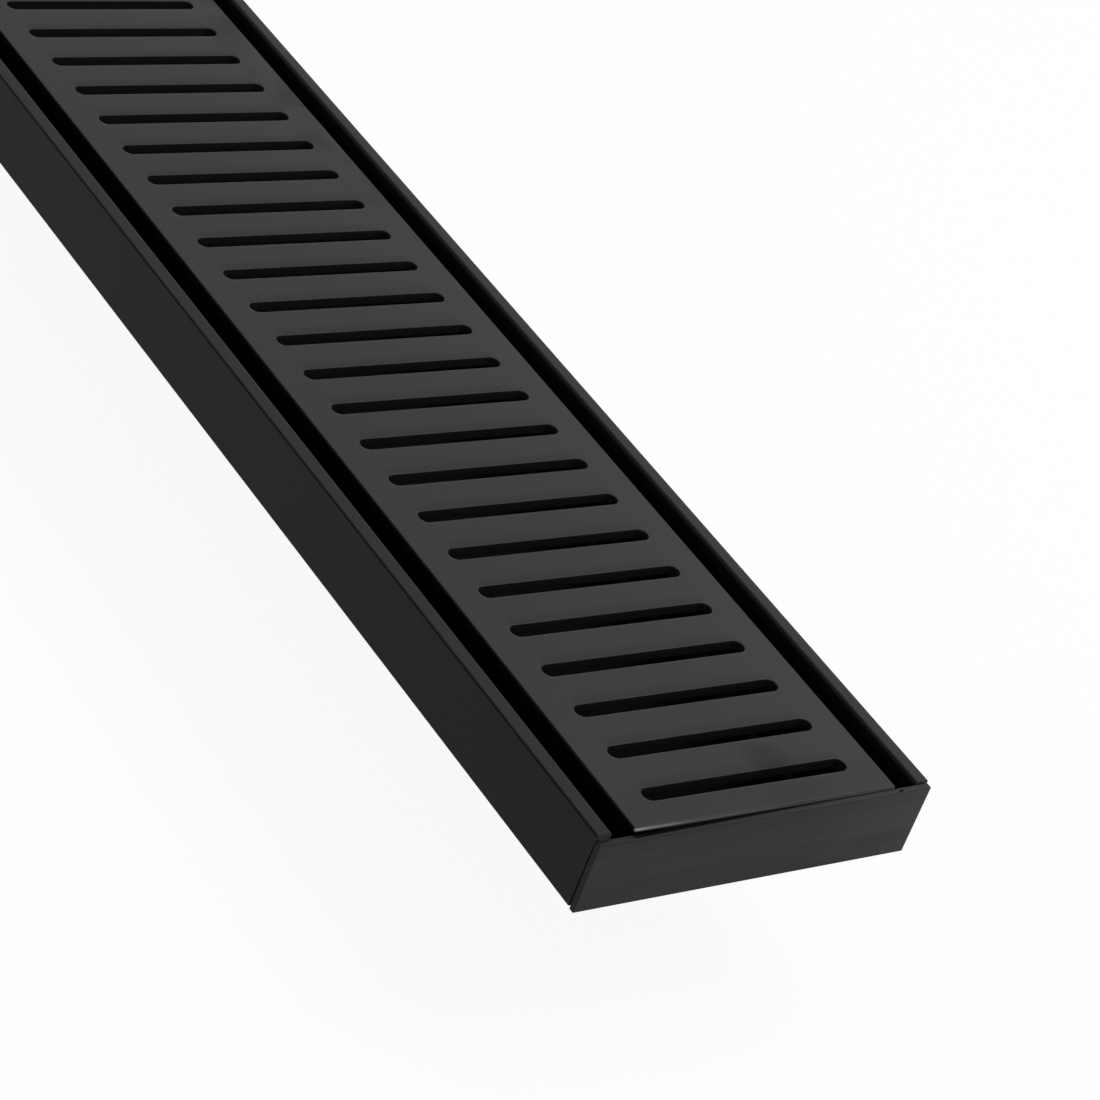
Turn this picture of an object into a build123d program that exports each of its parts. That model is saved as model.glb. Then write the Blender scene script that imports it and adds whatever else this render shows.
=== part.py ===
"""Linear shower drain: a shallow channel closed by end plates, a loose slotted grate and an outlet below.

X runs along the channel, Y across it and Z up. The origin is the middle of the spigot's lower end.
"""
import os

from build123d import *

# Channel
length = 800.0  # over both end plates
width = 100.0
height = 22.0
floor_thickness = 2.5
wall_thickness = 2.2
rim_width = 4.1
rim_depth = 3.0
channel_inner_radius = 1.5
rim_outer_edge_radius = 0.3
rim_inner_edge_radius = 1.2

# End plates and the seals that bond them on
end_plate_thickness = 1.5
end_plate_drop = 1.2  # top of a plate below the rim
end_plate_edge_chamfer = 0.7
seal_thickness = 0.5
seal_inset = 0.5

# Grate
side_gap = 6.4  # from the grate to the rim
grate_thickness = 3.0
grate_drop = 0.1  # top of the grate below the rim
grate_end_gap = 0.2
grate_edge_radius = 0.6
grate_corner_radius = 0.8
leg_thickness = 2.2
leg_margin = 1.5  # from the end of a slot to the leg
slot_side_margin = 8.75  # from the end of a slot to the grate's side
slot_width = 4.4
slot_pitch = 15.07
slot_end_margin = 10.2  # from the grate's front end to the first slot's centre line

# Pads under the grate's legs
pads_per_half = 2  # on each half of a leg
pad_length = 24.0
pad_height = 7.0
pad_cheek = 2.0
pad_arm_height = 4.0
pad_wall_gap = 0.3
pad_end_inset = 60.0

# Outlet: a flanged spigot through the floor, clamped by a backnut
spigot_diameter = 50.0
spigot_wall = 3.0
spigot_length = 25.0  # below the thread
spigot_lead_in = 1.5
thread_step = 1.5  # thread proud of the spigot
thread_tail = 4.0  # thread below the nut
flange_thickness = 2.0
flange_lip = 4.5  # from the hole's edge to the flange's edge
flange_leg_gap = 0.5  # from the flange up to the grate's legs
outlet_clearance = 0.2
washer_thickness = 2.5
washer_width = 6.3
nut_margin = 2.0  # from the washer to the nut's flats
nut_thickness = 9.0
nut_chamfer = 0.8

# Heights
thread_bottom = spigot_length
nut_bottom = thread_bottom + thread_tail
nut_top = nut_bottom + nut_thickness
underside = nut_top + washer_thickness
floor_top = underside + floor_thickness
rim_top = underside + height
grate_top = rim_top - grate_drop
grate_underside = grate_top - grate_thickness
leg_bottom = floor_top + flange_thickness + flange_leg_gap
end_plate_height = height - end_plate_drop
end_plate_middle = underside + end_plate_height / 2

# Lengths along X
channel_length = length - 2 * (end_plate_thickness + seal_thickness)
grate_length = length - 2 * (end_plate_thickness + grate_end_gap)
slot_count = int((grate_length - 2 * slot_end_margin) / slot_pitch) + 1
slot_row_middle = grate_length / 2 - slot_end_margin - (slot_count - 1) * slot_pitch / 2
pads_per_leg = 2 * pads_per_half
pad_pitch = (grate_length - 2 * pad_end_inset) / (pads_per_leg - 1)

# Places across Y
wall_inner = width / 2 - wall_thickness
rim_inner = width / 2 - rim_width
grate_side = rim_inner - side_gap
slot_length = 2 * (grate_side - slot_side_margin)
leg_inner = slot_length / 2 + leg_margin
leg_outer = leg_inner + leg_thickness

# Outlet radii
bore_radius = spigot_diameter / 2 - spigot_wall
thread_radius = spigot_diameter / 2 + thread_step
outlet_hole_radius = thread_radius + outlet_clearance
flange_radius = outlet_hole_radius + flange_lip
washer_radius = outlet_hole_radius + washer_width
nut_flat_radius = washer_radius + nut_margin


def mirrored(points):
    """Close an outline symmetrical about Z: the given side, then the same points at -Y in reverse."""
    return [*points, *[(-y, z) for y, z in reversed(points)]]


def end_plane(side, x):
    """Plane across the channel at distance x from its middle, facing out of the front (1) or rear (-1)."""
    return Plane(origin=(side * x, 0, 0), x_dir=(0, side, 0), z_dir=(side, 0, 0))


def channel_outline():
    """Sketch of the channel's U section with sharp corners, across its local X and up its local Y."""
    rim_taper = rim_width - wall_thickness
    with BuildSketch() as section:
        with BuildLine():
            Polyline(
                *mirrored([
                    (width / 2, underside),
                    (width / 2, rim_top),
                    (rim_inner, rim_top),
                    (rim_inner, rim_top - rim_depth),
                    (wall_inner, rim_top - rim_depth - rim_taper),
                    (wall_inner, floor_top),
                ]),
                close=True,
            )
        make_face()
    return section.sketch


# Channel, with the outlet hole in the floor
with BuildPart() as channel:
    with BuildSketch(Plane.YZ) as channel_section:
        add(channel_outline())
        # Each fillet makes new corners, so each selection starts afresh. The second level up is the floor,
        # and along the top the outer two corners come first and last.
        fillet(channel_section.vertices().group_by(Axis.Y)[1], radius=channel_inner_radius)
        rim_corners = channel_section.vertices().group_by(Axis.Y)[-1].sort_by(Axis.X)
        fillet(rim_corners[1:-1], radius=rim_inner_edge_radius)
        rim_corners = channel_section.vertices().group_by(Axis.Y)[-1].sort_by(Axis.X)
        fillet([rim_corners[0], rim_corners[-1]], radius=rim_outer_edge_radius)
    extrude(amount=channel_length / 2, both=True)
    with Locations((0, 0, floor_top)):
        Hole(outlet_hole_radius, depth=floor_thickness)
channel.part.label = "channel"


def make_end_plate(side, label):
    """Flat plate of the channel's width, a little lower than its rim, with eased outer edges."""
    with BuildPart() as plate:
        with BuildSketch(end_plane(side, length / 2 - end_plate_thickness)):
            with Locations((0, end_plate_middle)):
                Rectangle(width, end_plate_height)
        extrude(amount=end_plate_thickness)
        outer_face = plate.faces().sort_by(Axis.X)[-1 if side > 0 else 0]
        chamfer(outer_face.edges(), length=end_plate_edge_chamfer)
    plate.part.label = label
    return plate.part


def make_end_seal(side, label):
    """Thin seal of the channel's section behind a plate, set back from the faces of both."""
    with BuildPart() as seal:
        with BuildSketch(end_plane(side, channel_length / 2)):
            add(channel_outline())
            offset(amount=-seal_inset, kind=Kind.INTERSECTION, mode=Mode.REPLACE)
            with Locations((0, end_plate_middle)):
                Rectangle(width, end_plate_height - 2 * seal_inset, mode=Mode.INTERSECT)
        extrude(amount=seal_thickness)
    seal.part.label = label
    return seal.part


# Grate: a plate on two legs, with one row of slots across it
with BuildPart() as grate:
    with BuildSketch(Plane.YZ):
        with BuildLine():
            Polyline(
                *mirrored([
                    (grate_side, grate_top),
                    (grate_side, grate_underside),
                    (leg_outer, grate_underside),
                    (leg_outer, leg_bottom),
                    (leg_inner, leg_bottom),
                    (leg_inner, grate_underside),
                ]),
                close=True,
            )
        make_face()
    extrude(amount=grate_length / 2, both=True)
    corners = grate.edges().filter_by(Axis.Z).group_by(SortBy.DISTANCE)[-1]
    fillet(corners, radius=grate_corner_radius)
    fillet(grate.faces().sort_by(Axis.Z)[-1].edges(), radius=grate_edge_radius)
    with BuildSketch(Plane(origin=(slot_row_middle, 0, grate_top))):
        with GridLocations(slot_pitch, 0, slot_count, 1):
            SlotOverall(slot_length, slot_width, rotation=90)
    extrude(amount=-grate_thickness, mode=Mode.SUBTRACT)
grate.part.label = "grate"

# One pad: a sole under the leg, a cheek on each side of it and an arm out to the wall
with BuildPart() as pad:
    with BuildSketch(Plane.YZ):
        with BuildLine():
            Polyline(
                (leg_inner - pad_cheek, floor_top),
                (wall_inner - channel_inner_radius, floor_top),
                (wall_inner - pad_wall_gap, floor_top + channel_inner_radius),
                (wall_inner - pad_wall_gap, floor_top + pad_arm_height),
                (leg_outer + pad_cheek, floor_top + pad_arm_height),
                (leg_outer + pad_cheek, floor_top + pad_height),
                (leg_outer, floor_top + pad_height),
                (leg_outer, leg_bottom),
                (leg_inner, leg_bottom),
                (leg_inner, floor_top + pad_height),
                (leg_inner - pad_cheek, floor_top + pad_height),
                close=True,
            )
        make_face()
    extrude(amount=pad_length / 2, both=True)

with BuildPart() as grate_pads:
    with GridLocations(pad_pitch, 0, pads_per_leg, 1):
        add(pad.part)
    mirror(about=Plane.XZ)
grate_pads.part.label = "grate_pads"

# Outlet spigot: flange on the channel's floor, threaded neck through it and plain end for the pipe
with BuildPart() as outlet_spigot:
    with BuildSketch(Plane.XZ):
        with BuildLine():
            Polyline(
                (bore_radius, 0),
                (spigot_diameter / 2 - spigot_lead_in, 0),
                (spigot_diameter / 2, spigot_lead_in),
                (spigot_diameter / 2, thread_bottom),
                (thread_radius, thread_bottom + thread_step),
                (thread_radius, floor_top),
                (flange_radius, floor_top),
                (flange_radius - flange_thickness, floor_top + flange_thickness),
                (bore_radius, floor_top + flange_thickness),
                close=True,
            )
        make_face()
    revolve(axis=Axis.Z)
outlet_spigot.part.label = "outlet_spigot"

# Washer between the channel and the nut
with BuildPart() as outlet_washer:
    with BuildSketch(Plane.XY.offset(nut_top)):
        Circle(washer_radius)
        Circle(outlet_hole_radius, mode=Mode.SUBTRACT)
    extrude(amount=washer_thickness)
outlet_washer.part.label = "outlet_washer"

# Hexagonal backnut
with BuildPart() as outlet_nut:
    with BuildSketch(Plane.XY.offset(nut_bottom)):
        RegularPolygon(nut_flat_radius, 6, major_radius=False)
    extrude(amount=nut_thickness)
    chamfer(outlet_nut.edges().group_by(Axis.Z)[0], length=nut_chamfer)
    with Locations((0, 0, nut_top)):
        Hole(outlet_hole_radius)
outlet_nut.part.label = "outlet_nut"

pieces = [
    channel.part,
    make_end_plate(1, "front_end_plate"),
    make_end_plate(-1, "rear_end_plate"),
    make_end_seal(1, "front_end_seal"),
    make_end_seal(-1, "rear_end_seal"),
    grate.part,
    grate_pads.part,
    outlet_spigot.part,
    outlet_washer.part,
    outlet_nut.part,
]

os.makedirs("parts", exist_ok=True)
for piece in pieces:
    export_step(piece, f"parts/{piece.label}.step")
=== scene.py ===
"""Linear shower drain, dressed: rounded slotted grate, bonded end plates, threaded spigot and black coats."""
import math

import bmesh
import bpy
import numpy as np
from mathutils import Matrix, Vector


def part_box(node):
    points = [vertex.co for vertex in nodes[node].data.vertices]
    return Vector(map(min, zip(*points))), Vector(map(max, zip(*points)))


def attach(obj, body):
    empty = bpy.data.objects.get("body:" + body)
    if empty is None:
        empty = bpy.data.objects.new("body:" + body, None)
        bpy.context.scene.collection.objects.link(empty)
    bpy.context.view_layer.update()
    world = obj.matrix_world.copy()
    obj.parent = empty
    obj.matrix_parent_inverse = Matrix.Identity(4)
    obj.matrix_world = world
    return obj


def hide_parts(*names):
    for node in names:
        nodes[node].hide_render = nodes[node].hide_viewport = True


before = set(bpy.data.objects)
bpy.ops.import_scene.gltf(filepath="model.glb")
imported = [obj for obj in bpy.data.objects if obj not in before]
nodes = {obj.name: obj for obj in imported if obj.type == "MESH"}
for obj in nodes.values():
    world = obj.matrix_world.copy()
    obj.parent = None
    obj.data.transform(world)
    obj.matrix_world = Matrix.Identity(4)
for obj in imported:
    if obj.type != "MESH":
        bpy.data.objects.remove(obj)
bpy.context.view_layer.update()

mm = 0.001

# Grate, as in the part: one row of slots across a plate on two legs
slot_width = 4.4 * mm
slot_length = 61.5 * mm
slot_pitch = 15.07 * mm
slot_end_margin = 10.2 * mm  # from the grate's front end to the first slot's centre line
slot_count = 52
slot_mouth_radius = 0.25 * mm
grate_thickness = 3.0 * mm
grate_edge_radius = 0.6 * mm
grate_side_ease = 0.3 * mm  # how far that edge reaches in along the long sides
leg_margin = 1.5 * mm  # from the end of a slot to the leg
leg_thickness = 2.2 * mm
leg_fillet_radius = 1.0 * mm
leg_inner = slot_length / 2 + leg_margin
leg_outer = leg_inner + leg_thickness

# End plates
plate_edge_radius = 0.35 * mm
plate_corner_radius = 0.4 * mm
front_plate_roll = math.radians(0.83)  # bonded on slightly out of level

# Outlet spigot
bore_radius = 22.0 * mm
spigot_radius = 25.0 * mm
spigot_lead_in = 1.5 * mm
spigot_ease = 0.4 * mm  # break on the bore's and the flange's edges
thread_bottom = 25.0 * mm
thread_radius = 26.5 * mm
thread_depth = 1.2 * mm
thread_pitch = 2.31 * mm
thread_flatness = 1.5  # above 1, crests and roots are flat
floor_top = 43.0 * mm  # of the channel, under the flange
flange_radius = 31.2 * mm
flange_edge_radius = 0.5 * mm

# Fineness of the surfaces: points on a quarter round, and on the spigot
slot_end_points = 10
slot_mouth_points = 4
grate_edge_points = 7
plate_edge_points = 6
flange_edge_points = 5
spigot_points = 97
thread_rings = 92
weld_distance = 0.002 * mm

# Place of the photograph's camera, from the middle of the front end at the height of the rim
camera_from_front = Vector((471.18, -557.46, 505.31)) * mm
camera_azimuth = math.radians(45.777)
camera_elevation = math.radians(32.375)
camera_roll = math.radians(21.45)
camera_lens = 124.045
camera_sensor = 36.0
camera_sight = (0.05, 50.0)  # nearest and furthest distance seen

# Studio
floor_reach = 8.0
floor_white = 0.88
floor_glow = 0.93  # share of plain white in what the eye sees of the floor
room_fill = 0.36  # light of the white room on the drain


def quarter_turn(points):
    """Angles from 0 to a right angle in even steps."""
    return np.radians(np.linspace(0, 90, points))


def grid_quads(rows, columns):
    """Quads of a grid: each point, its neighbour in the row, and the same two in the next row."""
    point = np.arange(rows * columns).reshape(rows, columns)
    return np.stack([point[:-1, :-1], point[:-1, 1:], point[1:, 1:], point[1:, :-1]], axis=-1)


def make_piece(name, sheets, sharp_angle=40.0):
    """One mesh from grids of points: doubles merged, faces turned outwards, and flats kept flat in shading.

    Each sheet is an array (row, column, xyz) or a pair of it and a mask of the quads to keep.
    """
    points = []
    quads = []
    count = 0
    for sheet in sheets:
        places, kept = sheet if isinstance(sheet, tuple) else (sheet, None)
        corners = grid_quads(*places.shape[:2])
        corners = corners.reshape(-1, 4) if kept is None else corners[kept]
        quads.append(corners + count)
        points.append(places.reshape(-1, 3))
        count += places.shape[0] * places.shape[1]
    mesh = bpy.data.meshes.new(name)
    mesh.from_pydata(np.concatenate(points).tolist(), [], np.concatenate(quads).tolist())
    shell = bmesh.new()
    shell.from_mesh(mesh)
    bmesh.ops.remove_doubles(shell, verts=shell.verts, dist=weld_distance)
    bmesh.ops.recalc_face_normals(shell, faces=shell.faces)
    shell.to_mesh(mesh)
    shell.free()
    mesh.polygons.foreach_set("use_smooth", np.ones(len(mesh.polygons), bool))
    mesh.set_sharp_from_angle(angle=math.radians(sharp_angle))
    piece = bpy.data.objects.new(name, mesh)
    bpy.context.scene.collection.objects.link(piece)
    shading = piece.modifiers.new("flat_faces_first", "WEIGHTED_NORMAL")
    shading.keep_sharp = True
    shading.weight = 100
    return piece


def slot_rows():
    """Distances across the grate, on both sides of its middle.

    They run along the straight of a slot, round its end by the sine of a turn, out over the mouth by one
    minus the cosine of a turn, and on to the leg's root.
    """
    reach = slot_width / 2
    straight = slot_length / 2 - reach
    round_end = reach * np.sin(quarter_turn(slot_end_points))
    mouth = reach + slot_mouth_radius * (1 - np.cos(quarter_turn(slot_mouth_points)[1:]))
    beyond = leg_inner - leg_fillet_radius - straight
    half = straight + np.concatenate([round_end, mouth, [beyond]])
    return np.concatenate([-half[::-1], half])


def slot_side(rows, land, top, underside):
    """Half of one slot's surround: for each row, distances from the slot's centre line and heights.

    The section goes from the underside's land, round the lower mouth, up the wall, round the upper mouth and
    out on the top. Round the ends a mouth point at radius rho lies at the root of rho squared minus the row's
    overrun squared. The wall is kept only inside the slot's reach.
    """
    reach = slot_width / 2
    mouth = slot_mouth_radius
    overrun = np.maximum(np.abs(rows) - (slot_length / 2 - reach), 0)[:, None]
    radius = np.maximum(reach + mouth * (1 - np.sin(quarter_turn(slot_mouth_points))), overrun)
    drop = mouth * (1 - np.sqrt(1 - np.clip((reach + mouth - radius) / mouth, 0, 1) ** 2))
    off = np.sqrt(np.maximum(radius ** 2 - overrun ** 2, 0))
    edge = off[:, :1]
    flat = edge + (land - edge) * np.array([0.5, 1.0])
    level = np.zeros_like(flat)
    lower = np.stack([np.hstack([flat[:, ::-1], off]), underside + np.hstack([level, drop])], axis=-1)
    upper = np.stack([np.hstack([off[:, ::-1], flat]), top - np.hstack([drop[:, ::-1], level])], axis=-1)
    section = np.concatenate([lower, upper], axis=1)
    kept = np.ones((len(rows) - 1, section.shape[1] - 1), bool)
    nearer = np.minimum(overrun[:-1, 0], overrun[1:, 0])
    kept[:, lower.shape[1] - 1] = nearer < reach - weld_distance
    return section, kept


def slot_surrounds(rows, front, top, underside):
    """Sheets round all slots from the front end to the rear, and the lengths along X of their points.

    A slot's two halves go out from its centre line, each to half a pitch or to the grate's rounded end.
    """
    sheets = []
    lengths = []
    for number in range(slot_count):
        centre = front - slot_end_margin - number * slot_pitch
        to_front = slot_pitch / 2 if number else slot_end_margin - grate_edge_radius
        to_rear = slot_pitch / 2 if number < slot_count - 1 else centre + front - grate_edge_radius
        for way, land in ((1, to_front), (-1, to_rear)):
            section, kept = slot_side(rows, land, top, underside)
            along = centre + way * section[..., 0]
            across = np.broadcast_to(rows[:, None], along.shape)
            sheets.append((np.stack([along, across, section[..., 1]], axis=-1), kept))
            lengths += [centre, centre + way * land / 2, centre + way * land]
    return sheets, np.unique(np.round(lengths, 9))


def leg_profile(side, top, underside, leg_bottom):
    """Section of the grate outside its slots: the top, the rounded side, the underside and one leg.

    A round's points lie off its upright face by the radius times one minus the sine of a turn, and down from
    its level face by the radius times one minus the cosine. Gives the whole section, and the leg's part.
    """
    turn = quarter_turn(grate_edge_points)
    sideways = 1 - np.sin(turn)
    down = 1 - np.cos(turn)
    ease = grate_side_ease
    root = leg_fillet_radius
    land = np.array([[leg_inner - root, top], [leg_outer + root, top]])
    rounded = np.stack([side - ease * sideways, top - grate_edge_radius * down], axis=-1)
    below = np.array([[side, underside], [side - ease, underside]])
    outer_root = np.stack([leg_outer + root * sideways, underside - root * down], axis=-1)
    inner_root = np.stack([leg_inner - root * sideways, underside - root * down], axis=-1)
    foot = np.array([[leg_outer, leg_bottom], [leg_inner, leg_bottom]])
    leg = np.concatenate([outer_root, foot, inner_root[::-1]])
    return np.concatenate([land, rounded, below, leg]), leg


def swept(profile, lengths):
    """A section of (y, z) points carried along X."""
    section = np.broadcast_to(profile[:, None], (len(profile), len(lengths), 2))
    along = np.broadcast_to(np.asarray(lengths)[None, :, None], section.shape[:2] + (1,))
    return np.concatenate([along, section], axis=-1)


def grate_end(way, rows, leg, high, underside):
    """Sheets of one end of the grate: its rounded edge and face, then both legs' ends and both corners.

    Over the edge a point lies in by the radius times one minus the sine of a turn, and down by the radius
    times one minus the cosine. At a corner it goes out by that sine times the cosine and sine of a turn
    about Z.
    """
    front, side, top = high
    edge = grate_edge_radius
    ease = grate_side_ease
    turn = quarter_turn(grate_edge_points)
    inset = np.concatenate([edge * (1 - np.sin(turn)), [0, edge]])
    height = np.concatenate([top - edge * (1 - np.cos(turn)), [underside, underside]])
    root_inner = leg_inner - leg_fillet_radius
    root_outer = leg_outer + leg_fillet_radius
    beside = np.array([root_outer, side - ease])
    end_rows = np.concatenate([-beside[::-1], rows, beside])
    strip = np.empty((len(end_rows), len(inset), 3))
    strip[..., 0] = way * (front - inset)
    strip[..., 1] = end_rows[:, None]
    strip[..., 2] = height
    middle = np.abs(end_rows[:-1] + end_rows[1:]) / 2
    kept = np.ones((len(end_rows) - 1, len(inset) - 1), bool)
    kept[(middle > root_inner) & (middle < root_outer), -1] = False
    sheets = [(strip, kept)]
    half_leg = len(leg) // 2
    cap = np.stack([leg[:half_leg], leg[::-1][:half_leg]], axis=1)
    face = np.full(cap.shape[:2] + (1,), way * front)
    out = np.concatenate([np.sin(turn), [1, 0]])[:, None]
    for hand in (1, -1):
        sheets.append(swept(leg * (hand, 1), [way * (front - edge), way * front]))
        sheets.append(np.concatenate([face, cap * (hand, 1)], axis=-1))
        corner = np.empty((len(out), len(turn), 3))
        corner[..., 0] = way * (front - edge + edge * out * np.cos(turn))
        corner[..., 1] = hand * (side - ease + ease * out * np.sin(turn))
        corner[..., 2] = height[:, None]
        sheets.append(corner)
    return sheets


def make_grate():
    """The slotted plate with every edge eased: slot surrounds, long sides with legs and both ends, joined."""
    low, high = (np.array(corner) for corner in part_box("grate"))
    front, side, top = high
    underside = top - grate_thickness
    rows = slot_rows()
    sheets, lengths = slot_surrounds(rows, front, top, underside)
    whole, leg = leg_profile(side, top, underside, low[2])
    for hand in (1, -1):
        sheets.append(swept(whole * (hand, 1), lengths))
    for way in (1, -1):
        sheets += grate_end(way, rows, leg, high, underside)
    return make_piece("slotted_grate", sheets)


def make_end_plate(name, node, way, roll=0.0):
    """A flat plate with eased outer edges and rounded corners, turned by its roll.

    Loops of its outline run from the middle of the outer face to its edge, over a quarter round, along the
    thickness and in again to the middle of the back. An outline point is a corner's centre plus the inset
    radius in its direction.
    """
    low, high = (np.array(corner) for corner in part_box(node))
    middle = (low + high) / 2
    half = (high - low) / 2
    corner = plate_corner_radius
    edge = plate_edge_radius
    turn = quarter_turn(plate_edge_points)
    around = np.concatenate([turn, turn + np.pi / 2, turn + np.pi, turn + np.pi * 1.5, [0.0]])
    sign_y = np.append(np.repeat([1, -1, -1, 1], len(turn)), 1)
    sign_z = np.append(np.repeat([1, 1, -1, -1], len(turn)), 1)
    inset = np.concatenate([[corner, corner], edge * (1 - np.sin(turn)), [0, corner, corner]])[:, None]
    spread = np.concatenate([[0, 1], np.ones(len(turn) + 2), [0]])[:, None]
    depth = np.concatenate([[0, 0], edge * (1 - np.cos(turn)), np.repeat(2 * half[0], 3)])
    across = spread * sign_y * (half[1] - corner) + (corner - inset) * np.cos(around)
    upward = spread * sign_z * (half[2] - corner) + (corner - inset) * np.sin(around)
    loops = np.empty(across.shape + (3,))
    loops[..., 0] = way * (abs(middle[0]) + half[0] - depth)[:, None]
    loops[..., 1] = middle[1] + across * math.cos(roll) - upward * math.sin(roll)
    loops[..., 2] = middle[2] + across * math.sin(roll) + upward * math.cos(roll)
    return make_piece(name, [loops])


def make_spigot():
    """Section (radius, height) turned about the outlet's axis, with a helical thread on its neck.

    The thread's radius falls from the crest by its depth times a flattened cosine wave of height over pitch
    minus turn. Crest and depth grow from nothing at the thread's lower end.
    """
    turn = np.linspace(0, 2 * np.pi, spigot_points)
    neck = np.linspace(thread_bottom, floor_top, thread_rings)
    flange_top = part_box("outlet_spigot")[1][2]
    crown_radius = flange_radius - (flange_top - floor_top)
    ease = spigot_ease
    bend = quarter_turn(flange_edge_points)
    mouth_radius = bore_radius + flange_edge_radius * (1 - np.sin(bend))
    mouth_height = flange_top - flange_edge_radius * (1 - np.cos(bend))
    below = np.array([
        [bore_radius, ease],
        [bore_radius + ease, 0],
        [spigot_radius - spigot_lead_in, 0],
        [spigot_radius, spigot_lead_in],
    ])
    flange = np.array([
        [flange_radius, floor_top],
        [flange_radius, floor_top + ease],
        [crown_radius + ease / 2, flange_top - ease / 4],
        [crown_radius - ease, flange_top],
    ])
    above = np.concatenate([flange, np.stack([mouth_radius, mouth_height], axis=-1), below[:1]])
    phase = neck[:, None] / thread_pitch - turn / (2 * np.pi)
    wave = np.clip(0.5 - 0.5 * thread_flatness * np.cos(2 * np.pi * phase), 0, 1)
    thread_step = thread_radius - spigot_radius
    growth = np.clip((neck - thread_bottom) / thread_step, 0, 1)[:, None]
    radius = spigot_radius + thread_step * growth - thread_depth * growth * wave
    section = np.concatenate([
        np.broadcast_to(below[:, None], (len(below), len(turn), 2)),
        np.stack([radius, np.broadcast_to(neck[:, None], radius.shape)], axis=-1),
        np.broadcast_to(above[:, None], (len(above), len(turn), 2)),
    ])
    across = section[..., 0]
    ring = np.stack([across * np.cos(turn), across * np.sin(turn), section[..., 1]], axis=-1)
    return make_piece("threaded_spigot", [ring], sharp_angle=50.0)


class Field:
    """One socket of a finish's node tree. Arithmetic on it adds Math nodes, and node() any other node."""

    def __init__(self, tree, socket=None):
        self.tree = tree
        self.socket = socket

    def node(self, kind, settings=(), inputs=(), output=0):
        """Add a node of that kind: its settings first, then a value or a link for each input socket."""
        made = self.tree.nodes.new("ShaderNode" + kind)
        for name, value in dict(settings).items():
            setattr(made, name, value)
        for key, value in dict(inputs).items():
            if isinstance(value, Field):
                self.tree.links.new(value.socket, made.inputs[key])
            else:
                made.inputs[key].default_value = value
        return Field(self.tree, made.outputs[output])

    def math(self, operation, first, second):
        return self.node("Math", {"operation": operation}, {0: first, 1: second})

    def __add__(self, other):
        return self.math("ADD", self, other)

    def __radd__(self, other):
        return self.math("ADD", other, self)

    def __sub__(self, other):
        return self.math("SUBTRACT", self, other)

    def __rsub__(self, other):
        return self.math("SUBTRACT", other, self)

    def __mul__(self, other):
        return self.math("MULTIPLY", self, other)

    def __rmul__(self, other):
        return self.math("MULTIPLY", other, self)

    def __abs__(self):
        return self.math("ABSOLUTE", self, 0.0)

    def at_least(self, limit):
        return self.math("MAXIMUM", self, limit)

    def at_most(self, limit):
        return self.math("MINIMUM", self, limit)

    def root(self):
        return self.math("POWER", self, 0.5)

    def fraction(self):
        return self.math("FRACT", self, 0.0)

    def around(self, centre, radius):
        """How far from a centre, in radii, squared."""
        off = (self - centre) * (1 / radius)
        return off * off

    def step(self, low, high):
        """Smooth rise from 0 at low to 1 at high."""
        limits = {"Value": self, "From Min": low, "From Max": high, "To Min": 0.0, "To Max": 1.0}
        return self.node("MapRange", {"interpolation_type": "SMOOTHSTEP"}, limits)

    def fall(self, low, high):
        """Smooth fall from 1 at low to 0 at high."""
        return 1 - self.step(low, high)

    def between(self, start, full, ebb, end):
        """Smooth hump: from 0 at start to 1 at full, and from 1 at ebb to 0 at end."""
        return self.step(start, full) * self.fall(ebb, end)

    def tint(self, first, second):
        """Colour that goes from first at 0 to second at 1."""
        return self.node("Mix", {"data_type": "RGBA"}, {0: self, 6: first, 7: second}, 2)

    def speckle(self, scale, stretch=(1.0, 1.0, 1.0), detail=3.0):
        """Noise on these coordinates, with so many features to the metre, drawn out along the axes."""
        drawn = self.node("Mapping", (), {"Vector": self, "Scale": stretch})
        grain = {"Vector": drawn, "Scale": scale, "Detail": detail, "Roughness": 0.6}
        return self.node("TexNoise", (), grain)

    def axis(self, name):
        return self.node("SeparateXYZ", (), {0: self}, name)


def grey(level, blue=1.0):
    """A neutral linear colour, a little bluer or warmer."""
    return (level, level, level * blue, 1.0)


def new_finish(name, ior):
    """A material of that gloss. Gives it, its shader, and the piece's Object coordinates."""
    finish = bpy.data.materials.new(name)
    finish.use_nodes = True
    shader = finish.node_tree.nodes["Principled BSDF"]
    shader.inputs["IOR"].default_value = ior
    place = Field(finish.node_tree).node("TexCoord", (), (), "Object")
    return finish, shader, place


def dress(shader, **fields):
    """Link what changes over the surface to the shader's sockets."""
    for socket, field in fields.items():
        field.tree.links.new(field.socket, shader.inputs[socket.replace("_", " ")])


def bump(height, strength, depth):
    """Normal of a surface that rises with the height field, up to the depth."""
    return height.node("Bump", (), {"Strength": strength, "Distance": depth, "Height": height}, "Normal")


def powder_grain(place, depth):
    """Bump of a fine powder coat: a soft orange peel under a finer grain."""
    peel = place.speckle(420.0, detail=2.0)
    grain = place.speckle(2600.0, detail=2.0)
    return bump(peel * 0.6 + grain * 0.4, strength=0.35, depth=depth)


def lay_dirt_and_painted_shade(finish, shader, mask):
    """Dull black over a coat, as thick as the mask says: painted shade, and real smudges and a nick."""
    coat = Field(finish.node_tree, shader.outputs["BSDF"])
    dirt_and_painted_shade = mask.node("BsdfDiffuse", (), {"Color": grey(0.0015)})
    soiled_and_shaded = mask.node("MixShader", (), {0: mask, 1: coat, 2: dirt_and_painted_shade})
    surface = finish.node_tree.nodes["Material Output"].inputs["Surface"]
    finish.node_tree.links.new(soiled_and_shaded.socket, surface)


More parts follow.
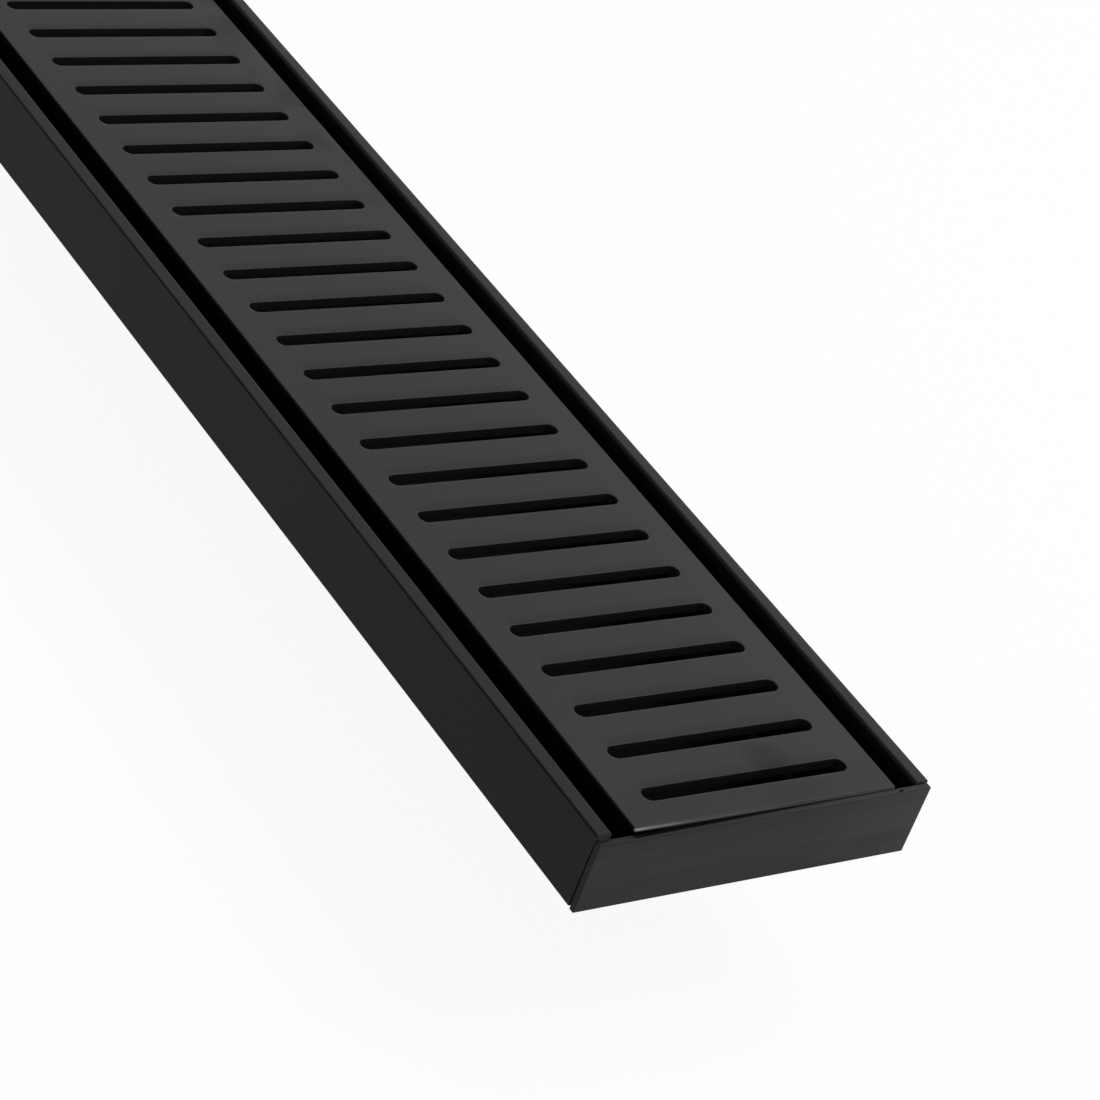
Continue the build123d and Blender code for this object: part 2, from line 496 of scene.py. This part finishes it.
def channel_coat():
    """Matt black coat on the extrusion: faint draw lines, painted light on the rim and its cut ends, an
    inside painted near black as shade.

    Painted shade lies in a line under the rim's outer edge, and on the floor, more by the legs than in the
    middle.
    """
    finish, shader, place = new_finish("channel_coat_black", 1.16)
    end, half_width, rim_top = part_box("channel")[1]
    along = abs(place.axis("X"))
    across = place.axis("Y")
    out = abs(across)
    upward = place.axis("Z")
    cloud = place.speckle(28.0, detail=4.0)
    lines = place.speckle(900.0, (0.01, 1.0, 1.0), 2.0)
    # Inside faces painted near black as shade; the outer wall faces a clouded tone
    outside = out.step(half_width - 2.5 * mm, half_width - 1.0 * mm)
    wall = (cloud * 0.7 + lines * 0.3).tint(grey(0.0111), grey(0.0153))
    coat = outside.tint(grey(0.0035), wall)

    # Rim painted paler towards +Y as light falls, a painted highlight on its outer edge, and its sawn ends
    # painted as light as its top
    rim = upward.step(rim_top - 0.20 * mm, rim_top - 0.04 * mm)
    painted_light_rim = across.step(-half_width, half_width) * 0.8 + cloud * 0.1 + lines * 0.1
    coat = rim.tint(coat, painted_light_rim.tint(grey(0.0136), grey(0.0265)))
    flank = out.step(half_width - 0.32 * mm, half_width - 0.20 * mm)
    painted_highlight_rim_edge = flank * upward.step(rim_top - 0.48 * mm, rim_top - 0.34 * mm)
    coat = painted_highlight_rim_edge.tint(coat, grey(0.040))
    sawn_end_painted_light = along.step(end - 0.06 * mm, end - 0.02 * mm)
    sawn_end_painted_light = sawn_end_painted_light * upward.step(rim_top - 4.5 * mm, rim_top - 2.5 * mm)

    # Painted shade, by the depth below the rim and the height over the floor
    depth = rim_top - upward
    height = upward - floor_top
    painted_shade_under_rim = flank * depth.between(0.45 * mm, 0.65 * mm, 1.05 * mm, 1.45 * mm)
    painted_shade_on_floor = height.between(-1.0 * mm, -0.1 * mm, 1.0 * mm, 3.0 * mm)
    painted_shade_on_floor = painted_shade_on_floor * out.step(5 * mm, 30 * mm) * (1 - outside)

    dress(
        shader,
        Base_Color=sawn_end_painted_light.tint(coat, grey(0.045)),
        Roughness=0.46 + 0.10 * cloud - 0.05 * rim,
        Normal=powder_grain(place, 0.02 * mm),
    )
    lay_dirt_and_painted_shade(finish, shader, painted_shade_under_rim * 0.68 + painted_shade_on_floor * 0.60)
    return finish


def grate_coat():
    """Satin black coat on the grate: a fine grain, slight clouding, painted light and highlights on the end
    edges and by the slots, painted shade, and smudges.

    How far a point lies over an end edge is its way out past the flat, by the root of the sum of squares
    along and across, plus its way down from the top. Its way from a slot is measured from the nearest centre
    line, by the fraction of a pitch, and round the slot's ends.
    """
    finish, shader, place = new_finish("grate_coat_black", 1.24)
    end, side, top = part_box("grate")[1]
    along = place.axis("X")
    from_end = end - along
    across = place.axis("Y")
    out = abs(across)
    upward = place.axis("Z")
    cloud = place.speckle(22.0, detail=4.0)
    fine = place.speckle(1500.0, detail=2.0)
    # Coat painted paler and bluer towards +Y and behind the first slots, as light falls, over random clouding
    middle = from_end.between(slot_end_margin - 2 * mm, slot_end_margin + 6 * mm, 178.3 * mm, 348.3 * mm)
    shade = across.step(-8 * mm, 52 * mm) * 0.60 + cloud * 0.25 + fine * 0.15 + middle * 0.30
    coat = shade.tint(grey(0.0055), grey(0.0150, 1.05))

    # End edges: a painted sheen all along, and a painted highlight, less and less from one side to the other
    past_end = (abs(along) - (end - grate_edge_radius)).at_least(0.0)
    past_side = (out - (side - grate_side_ease)).at_least(0.0) * (grate_edge_radius / grate_side_ease)
    over = (past_end * past_end + past_side * past_side).root() + (top - upward)
    edge = past_end.step(0.0, 0.1 * mm)
    painted_edge_sheen = edge * over.between(0.50 * mm, 1.10 * mm, 1.45 * mm, 1.65 * mm)
    painted_edge_highlight = edge * over.between(0.35 * mm, 0.80 * mm, 1.00 * mm, 1.50 * mm)
    fading = across.step(-43 * mm, -33 * mm) * 0.60 + across.step(-33 * mm, -21 * mm) * 0.32
    painted_edge_highlight = painted_edge_highlight * (1 - fading - across.step(-8 * mm, 8 * mm) * 0.08)

    # Slots: painted shade behind them, a painted highlight line before them, walls, and painted shade on what
    # lies under the long sides
    mouth = slot_width / 2 + slot_mouth_radius
    row_end = slot_end_margin + (slot_count - 0.5) * slot_pitch
    behind = (((from_end - slot_end_margin) * (1 / slot_pitch) + 0.5).fraction() - 0.5) * slot_pitch
    past_straight = (out - (slot_length - slot_width) / 2).at_least(0.0)
    away = (behind * behind + past_straight * past_straight).root()
    in_row = from_end.fall(row_end - 0.5 * mm, row_end)
    painted_shade_behind_slot = behind.between(mouth - 0.3 * mm, mouth, mouth, mouth + 4.2 * mm) * out.fall(27 * mm, 32 * mm)
    painted_shade_behind_slot = painted_shade_behind_slot * from_end.step(slot_end_margin - 1 * mm, slot_end_margin) * in_row
    painted_highlight_before_slot = away.between(mouth - 0.05 * mm, mouth + 0.05 * mm, mouth + 0.15 * mm, mouth + 0.35 * mm)
    painted_highlight_before_slot = painted_highlight_before_slot * behind.fall(-0.8 * mm, 0.8 * mm) * in_row
    past_slots = out.step(leg_inner - 1.25 * mm, leg_inner - 0.25 * mm)
    wall = upward.fall(top - 0.6 * mm, top - 0.3 * mm) * (1 - past_slots)
    painted_shade_under_sides = upward.fall(top - 1.0 * mm, top - 0.5 * mm) * past_slots

    # Smudges: two by the first slot; painted shade in patches along one side further back
    by_slot = (from_end.around(16.3 * mm, 7 * mm) + across.around(10.5 * mm, 8 * mm)).fall(0.0, 1.0)
    by_end = (from_end.around(3.3 * mm, 6 * mm) + across.around(12 * mm, 14 * mm)).fall(0.0, 1.0)
    patches = place.speckle(60.0).step(0.40, 0.62) * across.step(24 * mm, 34 * mm)
    painted_shade_by_side = patches * from_end.between(198.3 * mm, 288.3 * mm, 398.3 * mm, 598.3 * mm)

    # Tones: slot walls, painted shade under the sides, painted sheen and highlight on the end edges, a
    # painted highlight before the slots
    for mask, level in ((wall, 0.0135), (painted_shade_under_sides, 0.0010), (painted_edge_sheen, 0.085), (painted_highlight_before_slot, 0.022), (painted_edge_highlight, 0.40)):
        coat = mask.tint(coat, grey(level))
    dress(
        shader,
        Base_Color=coat,
        Roughness=0.33 + 0.10 * cloud,
        Normal=powder_grain(place, 0.015 * mm),
    )
    # Dull black over: painted shade behind the slots and along one side, and two smudges
    lay_dirt_and_painted_shade(finish, shader, painted_shade_behind_slot * 0.17 + by_slot * 0.20 + by_end * 0.07 + painted_shade_by_side * 0.20)
    return finish


def end_plate_coat():
    """Satin black coat over a plate brushed along Y, with painted light and shade, chips, a nick and painted
    shade at the seam.

    The painted shade at the seam reaches forward over the plate's top by a quadratic in Y: far on one side,
    little on the other. The band of the face painted palest fades with the square of the height from its
    middle.
    """
    finish, shader, place = new_finish("end_plate_coat_black", 1.18)
    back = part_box("front_end_plate")[0][0]
    outer, half_width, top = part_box("front_end_plate")[1]
    grate_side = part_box("grate")[1][1]
    along = abs(place.axis("X"))
    across = place.axis("Y")
    out = abs(across)
    upward = place.axis("Z") - across * math.tan(front_plate_roll)
    on_front = place.axis("X").step(0.0, 100 * mm)
    cloud = place.speckle(40.0, detail=4.0)
    brushed = place.speckle(700.0, (1.0, 0.02, 1.0), 3.0)
    streaks = place.speckle(285.0, (1.0, 0.05, 1.0), 3.0)
    just_short = 0.05 * mm
    face = along.step(outer - plate_edge_radius, outer - just_short)
    crown = upward.step(top - plate_edge_radius, top - just_short)
    flank = out.step(half_width - plate_edge_radius, half_width - just_short)

    # Brushed face: streaks; painted paler to one side and in a band, painted shade under half of the top, and
    # a smudge widened into painted shade
    shade = 0.065 + across.step(5 * mm, 60 * mm) * 0.49 + streaks * 0.45 + brushed * 0.16 + cloud * 0.08
    painted_shade_off_band = upward.around(top - 8.5 * mm, 12.3 * mm) * (0.14 + 0.13 * across.step(-10 * mm, 30 * mm))
    painted_shade_under_top = upward.step(top - 2.2 * mm, top - 0.2 * mm) * across.fall(-22 * mm, 2 * mm)
    smudge_and_painted_shade = (across.around(39 * mm, 12 * mm) + upward.around(top - 15.3 * mm, 4.2 * mm)).fall(0.0, 1.0)
    shade = shade - painted_shade_off_band - painted_shade_under_top * 0.18 - smudge_and_painted_shade * on_front * 0.20
    # Top and side faces painted darker, to look as light as the face under the lamps; the top painted paler
    # towards +Y
    painted_light_sides = (crown * across.step(-20 * mm, 35 * mm)).tint(grey(0.0085), grey(0.022))
    coat = face.tint(painted_light_sides, shade.tint(grey(0.010), grey(0.050, 1.03)))

    # Painted highlight on the rounded edges, and chips
    rounded = face * crown * (0.35 + 0.65 * across.step(-25 * mm, 15 * mm)) + face * flank * 0.5
    chips = place.speckle(1700.0, (1.0, 0.5, 1.0), 3.0).step(0.60, 0.68)
    chipped = chips * crown * across.between(0.0, 8 * mm, 34 * mm, 40 * mm)
    coat = (rounded * 0.9 + chipped * 0.5).tint(coat, grey(0.029))

    # Painted shade at the seam with the grate, and dirt in the nick, on the front plate
    reach = 0.38 * mm - across * 0.0125 + across * across * 0.17
    painted_shade_joint = crown * (along - back - reach).fall(-0.12 * mm, 0.12 * mm)
    painted_shade_joint = painted_shade_joint * out.fall(grate_side - 0.3 * mm, grate_side + 0.7 * mm)
    nick = along.around(back + 0.93 * mm, 0.36 * mm) + across.around(40.6 * mm, 0.85 * mm)
    nick = nick.fall(0.5, 1.2) * crown

    dress(
        shader,
        Base_Color=coat,
        Roughness=0.38 + 0.12 * brushed,
        Normal=powder_grain(place, 0.015 * mm),
    )
    lay_dirt_and_painted_shade(finish, shader, (painted_shade_joint * 0.85 + nick * 0.90) * on_front)
    return finish


def soft_rubber(name, shade):
    """Dull black rubber with a fine moulded grain and a dusty bloom."""
    finish, shader, place = new_finish(name, 1.40)
    bloom = place.speckle(120.0, detail=4.0)
    grain = place.speckle(1800.0, detail=2.0)
    dress(
        shader,
        Base_Color=(bloom * 0.6 + grain * 0.4).tint(grey(shade * 0.7), grey(shade * 1.5)),
        Roughness=0.70 + 0.18 * bloom,
        Normal=bump(grain, strength=0.4, depth=0.03 * mm),
    )
    return finish


def outlet_plastic():
    """Dark grey moulded plastic, slightly mottled, with a fine spark grain."""
    finish, shader, place = new_finish("outlet_plastic_grey", 1.45)
    mottle = place.speckle(60.0, detail=4.0)
    spark = place.speckle(2200.0, detail=2.0)
    dress(
        shader,
        Base_Color=(mottle * 0.6 + spark * 0.4).tint(grey(0.030), grey(0.046)),
        Roughness=0.42 + 0.16 * mottle,
        Normal=bump(spark, strength=0.35, depth=0.03 * mm),
    )
    return finish


def paint(piece, finish):
    """Give a piece this finish and no other."""
    piece.data.materials.clear()
    piece.data.materials.append(finish)


def seen_directly(start):
    """1 for rays from the camera and those that gloss or glass sends on, else 0."""
    camera = start.node("LightPath", (), (), "Is Camera Ray")
    gloss = start.node("LightPath", (), (), "Is Glossy Ray")
    through = start.node("LightPath", (), (), "Is Transmission Ray")
    return (camera + gloss + through).at_most(1.0)


def lay_floor():
    """A pale floor under the spigot, clear from below. Eye and gloss see it white, with a faint shadow."""
    corners = np.array([[-1, -1, 0], [1, -1, 0], [-1, 1, 0], [1, 1, 0]]) * floor_reach
    mesh = bpy.data.meshes.new("studio_floor")
    mesh.from_pydata(corners.tolist(), [], grid_quads(2, 2).reshape(-1, 4).tolist())
    floor = bpy.data.objects.new("studio_floor", mesh)
    bpy.context.scene.collection.objects.link(floor)
    finish = bpy.data.materials.new("studio_white")
    finish.use_nodes = True
    tree = finish.node_tree
    tree.nodes.clear()
    start = Field(tree)
    matt = start.node("BsdfDiffuse", (), {"Color": grey(floor_white)})
    glow = start.node("Emission", (), {"Color": grey(1.0), "Strength": 1.0})
    white = start.node("MixShader", (), {0: seen_directly(start) * floor_glow, 1: matt, 2: glow})
    clear = start.node("BsdfTransparent")
    from_below = start.node("NewGeometry", (), (), "Backfacing")
    one_sided = start.node("MixShader", (), {0: from_below, 1: white, 2: clear})
    surface = tree.nodes.new("ShaderNodeOutputMaterial")
    tree.links.new(one_sided.socket, surface.inputs["Surface"])
    paint(floor, finish)


def add_lamp(name, place, aim, size, power):
    """A rectangular soft lamp at its place, turned to face its aim."""
    lamp = bpy.data.lights.new(name, "AREA")
    lamp.shape = "RECTANGLE"
    lamp.size, lamp.size_y = size
    lamp.energy = power
    holder = bpy.data.objects.new(name, lamp)
    bpy.context.scene.collection.objects.link(holder)
    holder.location = place
    holder.rotation_euler = (Vector(aim) - Vector(place)).to_track_quat("-Z", "Y").to_euler()


def light_studio():
    """White room that fills softly, a large soft lamp overhead and a strip at one side for the edges."""
    world = bpy.data.worlds.new("studio")
    bpy.context.scene.world = world
    world.use_nodes = True
    tree = world.node_tree
    strength = room_fill + (1 - room_fill) * seen_directly(Field(tree))
    background = tree.nodes["Background"]
    background.inputs["Color"].default_value = grey(1.0)
    tree.links.new(strength.socket, background.inputs["Strength"])
    add_lamp("soft_overhead", place=(0.25, 0.75, 1.55), aim=(0.25, 0.0, 0.05), size=(1.6, 1.0), power=19.0)
    add_lamp("edge_strip", place=(0.72, 0.74, 1.02), aim=(0.38, 0.0, 0.06), size=(0.60, 0.12), power=2.5)


def set_camera():
    """The photograph's camera: set off from the front end, turned to azimuth and elevation, then rolled."""
    front_top = Vector((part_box("front_end_plate")[1][0], 0.0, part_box("channel")[1][2]))
    sine, cosine = math.sin(camera_azimuth), math.cos(camera_azimuth)
    level = math.cos(camera_elevation)
    back = Vector((sine * level, -cosine * level, math.sin(camera_elevation)))
    level_right = Vector((cosine, sine, 0.0))
    right = level_right * math.cos(camera_roll) + back.cross(level_right) * math.sin(camera_roll)
    turn = Matrix((right, back.cross(right), back)).transposed()
    eye = bpy.data.cameras.new("photo_camera")
    eye.sensor_fit = "HORIZONTAL"
    eye.sensor_width = camera_sensor
    eye.lens = camera_lens
    eye.clip_start, eye.clip_end = camera_sight
    holder = bpy.data.objects.new("photo_camera", eye)
    bpy.context.scene.collection.objects.link(holder)
    holder.matrix_world = Matrix.Translation(front_top + camera_from_front) @ turn.to_4x4()
    bpy.context.scene.camera = holder


plate_finish = end_plate_coat()
plastic = outlet_plastic()
rubber = soft_rubber("pad_rubber_black", 0.014)
seal_rubber = soft_rubber("seal_rubber_black", 0.010)

front_plate = make_end_plate("front_plate", "front_end_plate", 1, front_plate_roll)
rear_plate = make_end_plate("rear_plate", "rear_end_plate", -1)
made = [
    (make_grate(), "grate", "grate_coat", grate_coat()),
    (front_plate, "front_end_plate", "end_plate_coat", plate_finish),
    (rear_plate, "rear_end_plate", "end_plate_coat", plate_finish),
    (make_spigot(), "outlet_spigot", "outlet_plastic", plastic),
]
for piece, node, slot, finish in made:
    paint(piece, finish)
    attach(piece, "root")
    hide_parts(node)

paint(nodes["channel"], channel_coat())
paint(nodes["outlet_nut"], plastic)
paint(nodes["outlet_washer"], rubber)
paint(nodes["grate_pads"], rubber)
paint(nodes["front_end_seal"], seal_rubber)
paint(nodes["rear_end_seal"], seal_rubber)

lay_floor()
light_studio()
set_camera()
bpy.context.scene.view_settings.view_transform = "Standard"
